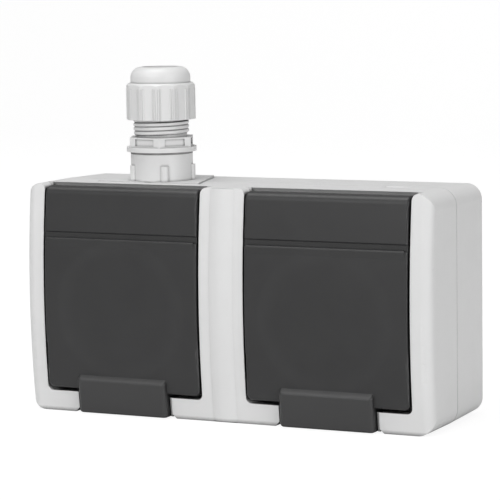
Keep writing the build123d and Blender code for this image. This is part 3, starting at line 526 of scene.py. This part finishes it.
def gland_thread():
    """Helical thread on the gland's neck, between the hexagon and the nut, with a run-out at both ends."""
    sleeve_low, sleeve_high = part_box("entry_sleeve")
    ring_low, ring_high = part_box("gland_ring")
    axis_x = (ring_low.x + ring_high.x) / 2
    axis_y = (ring_low.y + ring_high.y) / 2
    foot = sleeve_high.z + THREAD_FOOT
    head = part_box("gland_nut")[0].z + THREAD_COVERED
    turns = (head - foot) / THREAD_PITCH
    section = [*THREAD_FLANK, *((out, -along) for out, along in reversed(THREAD_FLANK))]
    steps = int(turns * THREAD_STEPS)
    bm = bmesh.new()
    rings = []
    for step in range(steps + 1):
        share = step / steps
        angle = 2 * pi * turns * share
        fade = min(1.0, THREAD_RUN_OUT * share, THREAD_RUN_OUT * (1.0 - share) + THREAD_HEAD_SHARE)
        ring = []
        for out, along in section:
            radius = THREAD_ROOT + out * (THREAD_CREST - THREAD_ROOT) * (fade if out > 0 else 1.0)
            place = (
                axis_x + radius * cos(angle),
                axis_y + radius * sin(angle),
                foot + (head - foot) * share + along * THREAD_PITCH,
            )
            ring.append(bm.verts.new(place))
        rings.append(ring)
    for near, far in zip(rings, rings[1:]):
        wall_between(bm, near, far)
    bm.faces.new(list(reversed(rings[0])))
    bm.faces.new(rings[-1])
    mesh = closed_mesh(bm, "gland_thread", FORM_SHARP)
    return mesh_object("gland_thread", mesh, "root", "gland_plastic")


def add_ledge(bm, near_x, far_x):
    """One upright strip of the sill, set back behind the bulged front."""
    rows = []
    for step in range(LEDGE_STEPS + 1):
        z = LEDGE_FOOT + (SILL_HEIGHT - LEDGE_FOOT) * step / LEDGE_STEPS - HALF_HEIGHT
        front = front_y(z) + LEDGE_SETBACK
        back = front + LEDGE_DEPTH
        corners = ((near_x, front), (far_x, front), (far_x, back), (near_x, back))
        rows.append([bm.verts.new((x, y, z)) for x, y in corners])
    for low, high in zip(rows, rows[1:]):
        wall_between(bm, low, high)
    bm.faces.new(rows[0])
    bm.faces.new(rows[-1])


def sill_ledges():
    """Narrow ledges of the sill in the gap at both ends of each grip."""
    bm = bmesh.new()
    for lid in LIDS:
        low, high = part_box(lid)
        centre = (low.x + high.x) / 2
        for end in (-1, 1):
            near_x = centre + end * (GRIP_WIDTH / 2 + LEDGE_GAP)
            far_x = centre + end * (GRIP_WIDTH / 2 + NOTCH_GAP)
            add_ledge(bm, near_x, far_x)
    return mesh_object("sill_ledges", closed_mesh(bm, "sill_ledges"), "root", "grey_plastic")


def lid_lip(lid):
    """Lip along the lower edge of a lid's cross groove, proud at the top and flush below."""
    low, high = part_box(lid)
    outline = []
    for out, up in LIP_OUTLINE:
        z = LIP_Z + up * MM
        outline.append((front_y(z, LID_PROUD) - out * MM, z))
    bm = bmesh.new()
    ends = [[bm.verts.new((x, y, z)) for y, z in outline] for x in (low.x + LIP_END, high.x - LIP_END)]
    wall_between(bm, *ends)
    for end in ends:
        bm.faces.new(end)
    mesh = closed_mesh(bm, lid + "_lip", FORM_SHARP)
    return mesh_object(lid + "_lip", mesh, lid, "lid_plastic")


def lid_spring(lid):
    """A lid's torsion spring: a copy of its mesh that stands for the node."""
    node = lid.replace("lid_", "lid_spring_")
    piece = bpy.data.objects.new(node + "_coil", nodes[node].data.copy())
    scene.collection.objects.link(piece)
    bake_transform(piece)
    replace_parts(piece, node)


def ring_of(bm, centre, radius, y):
    """Circle of vertices round a screw's axis, which runs along Y."""
    turn = [2 * pi * step / HEAD_STEPS for step in range(HEAD_STEPS)]
    return [bm.verts.new((centre[0] + radius * cos(a), y, centre[1] + radius * sin(a))) for a in turn]


def cross_of(bm, centre, scale, y):
    """Outline of a cross recess round a screw's axis."""
    arm = CROSS_ARM * scale
    half = CROSS_HALF_WIDTH * scale
    quarter = [(arm, -half), (arm, half), (half, half)]
    points = []
    for turn in range(4):
        angle = turn * pi / 2
        points += [(x * cos(angle) - z * sin(angle), x * sin(angle) + z * cos(angle)) for x, z in quarter]
    return [bm.verts.new((centre[0] + x, y, centre[1] + z)) for x, z in points]


def outline_edges(bm, outline):
    """Edges of a closed outline, made where they are missing."""
    edges = []
    for index, vert in enumerate(outline):
        after = outline[(index + 1) % len(outline)]
        edges.append(bm.edges.get((vert, after)) or bm.edges.new((vert, after)))
    return edges


def add_pan_screw(bm, centre, head, front, back):
    """One screw that points at the wall: a pan head with a cross recess, and a plain shank."""
    radius, height = head
    seat = front + height
    shank_end = ring_of(bm, centre, SHANK_SHARE * radius, back)
    shank_top = ring_of(bm, centre, SHANK_SHARE * radius, seat)
    rings = [ring_of(bm, centre, out * radius, seat - up * height) for out, up in PAN_OUTLINE]
    bm.faces.new(shank_end)
    wall_between(bm, shank_end, shank_top)
    wall_between(bm, shank_top, rings[0])
    for near, far in zip(rings, rings[1:]):
        wall_between(bm, near, far)
    mouth = cross_of(bm, centre, radius, front)
    bottom = cross_of(bm, centre, CROSS_TAPER * radius, front + CROSS_DEPTH * height)
    rim = outline_edges(bm, rings[-1]) + outline_edges(bm, mouth)
    bmesh.ops.triangle_fill(bm, use_beauty=True, edges=rim)
    wall_between(bm, mouth, bottom)
    bm.faces.new(bottom)


def pan_screws(node, places, head):
    """Screws with cross recesses that stand for a node of plain ones."""
    low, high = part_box(node)
    bm = bmesh.new()
    for place in places:
        add_pan_screw(bm, place, head, low.y, high.y)
    mesh = closed_mesh(bm, node + "_pan", SCREW_SHARP)
    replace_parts(mesh_object(node + "_pan", mesh, "root", "steel"), node)


def cover_screw_places():
    """Front-view places of the cover's four screws, from the box round their heads."""
    low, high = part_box("cover_screws")
    head_radius = COVER_HEAD[0]
    outer_x = high.x - head_radius
    inner_x = 2 * SOCKET_X - outer_x
    low_row = low.z + head_radius
    high_row = high.z - head_radius
    return [(-outer_x, low_row), (outer_x, low_row), (-inner_x, high_row), (inner_x, high_row)]


gland_thread()
pan_screws("cover_screws", cover_screw_places(), COVER_HEAD)
pan_screws("centre_screws", [(-SOCKET_X, SOCKET_Z), (SOCKET_X, SOCKET_Z)], CENTRE_HEAD)
sill_ledges()
for lid_name in LIDS:
    lid_lip(lid_name)
    lid_spring(lid_name)


# Stage, light and camera
def backdrop():
    """Pale floor that curves up into a backdrop behind the part."""
    outline = [(SWEEP_FRONT, FLOOR_Z), (SWEEP_TURN, FLOOR_Z)]
    for step in range(1, SWEEP_STEPS + 1):
        angle = step * pi / 2 / SWEEP_STEPS
        y = SWEEP_TURN + SWEEP_RADIUS * sin(angle)
        outline.append((y, FLOOR_Z + SWEEP_RADIUS * (1 - cos(angle))))
    outline.append((SWEEP_TURN + SWEEP_RADIUS, SWEEP_TOP))
    bm = bmesh.new()
    edge = [[bm.verts.new((side * SWEEP_HALF_WIDTH, y, z)) for y, z in outline] for side in (-1, 1)]
    for index in range(len(outline) - 1):
        bm.faces.new((edge[0][index], edge[1][index], edge[1][index + 1], edge[0][index + 1]))
    mesh = bpy.data.meshes.new("backdrop")
    bm.to_mesh(mesh)
    bm.free()
    mesh.shade_smooth()
    sweep = bpy.data.objects.new("backdrop", mesh)
    scene.collection.objects.link(sweep)
    return sweep


def paper(tree, tone):
    """Plain matt paper of a grey tone."""
    sheet = tree.nodes.new("ShaderNodeBsdfDiffuse")
    sheet.inputs["Color"].default_value = (tone, tone, tone, 1.0)
    return sheet.outputs["BSDF"]


def backdrop_material():
    """Pale paper that shows white to the camera and keeps a faint shadow."""
    material = bpy.data.materials.new("backdrop")
    material.use_nodes = True
    tree = material.node_tree
    tree.nodes.clear()
    out = tree.nodes.new("ShaderNodeOutputMaterial")
    glow = tree.nodes.new("ShaderNodeEmission")
    glow.inputs["Strength"].default_value = SEEN_GLOW
    seen = tree.nodes.new("ShaderNodeAddShader")
    tree.links.new(paper(tree, SEEN_PAPER), seen.inputs[0])
    tree.links.new(glow.outputs["Emission"], seen.inputs[1])
    light_path = tree.nodes.new("ShaderNodeLightPath")
    mix = tree.nodes.new("ShaderNodeMixShader")
    tree.links.new(light_path.outputs["Is Camera Ray"], mix.inputs["Fac"])
    tree.links.new(paper(tree, PAPER), mix.inputs[1])
    tree.links.new(seen.outputs["Shader"], mix.inputs[2])
    tree.links.new(mix.outputs["Shader"], out.inputs["Surface"])
    return material


def softbox(name, place, size, power):
    """Square area lamp that faces the lamps' target."""
    lamp = bpy.data.lights.new(name, "AREA")
    lamp.shape = "SQUARE"
    lamp.size = size
    lamp.energy = power
    box = bpy.data.objects.new(name, lamp)
    scene.collection.objects.link(box)
    aim = Vector(LAMP_TARGET) - Vector(place)
    box.matrix_world = Matrix.Translation(place) @ aim.to_track_quat("-Z", "Y").to_matrix().to_4x4()


def studio_world():
    """Even white light from all round."""
    world = bpy.data.worlds.new("studio")
    scene.world = world
    world.use_nodes = True
    background = world.node_tree.nodes["Background"]
    background.inputs["Color"].default_value = (1.0, 1.0, 1.0, 1.0)
    background.inputs["Strength"].default_value = WORLD_STRENGTH


def photo_camera():
    """Camera at the photograph's place, with its lens and its slight roll."""
    forward = Vector((
        -sin(CAMERA_YAW) * cos(CAMERA_PITCH),
        cos(CAMERA_YAW) * cos(CAMERA_PITCH),
        -sin(CAMERA_PITCH),
    ))
    right = Vector((cos(CAMERA_YAW), sin(CAMERA_YAW), 0.0))
    down = forward.cross(right)
    rolled_right = cos(CAMERA_ROLL) * right + sin(CAMERA_ROLL) * down
    rolled_down = -sin(CAMERA_ROLL) * right + cos(CAMERA_ROLL) * down
    data = bpy.data.cameras.new("photo_camera")
    data.sensor_width = SENSOR_WIDTH
    data.lens = FOCAL_PIXELS * SENSOR_WIDTH / IMAGE_SIZE
    camera = bpy.data.objects.new("photo_camera", data)
    scene.collection.objects.link(camera)
    axes = Matrix((rolled_right, -rolled_down, -forward)).transposed().to_4x4()
    camera.matrix_world = Matrix.Translation(CAMERA_PLACE) @ axes
    return camera


backdrop().data.materials.append(backdrop_material())
for lamp_values in LAMPS:
    softbox(*lamp_values)
studio_world()
scene.camera = photo_camera()
scene.view_settings.view_transform = "Standard"
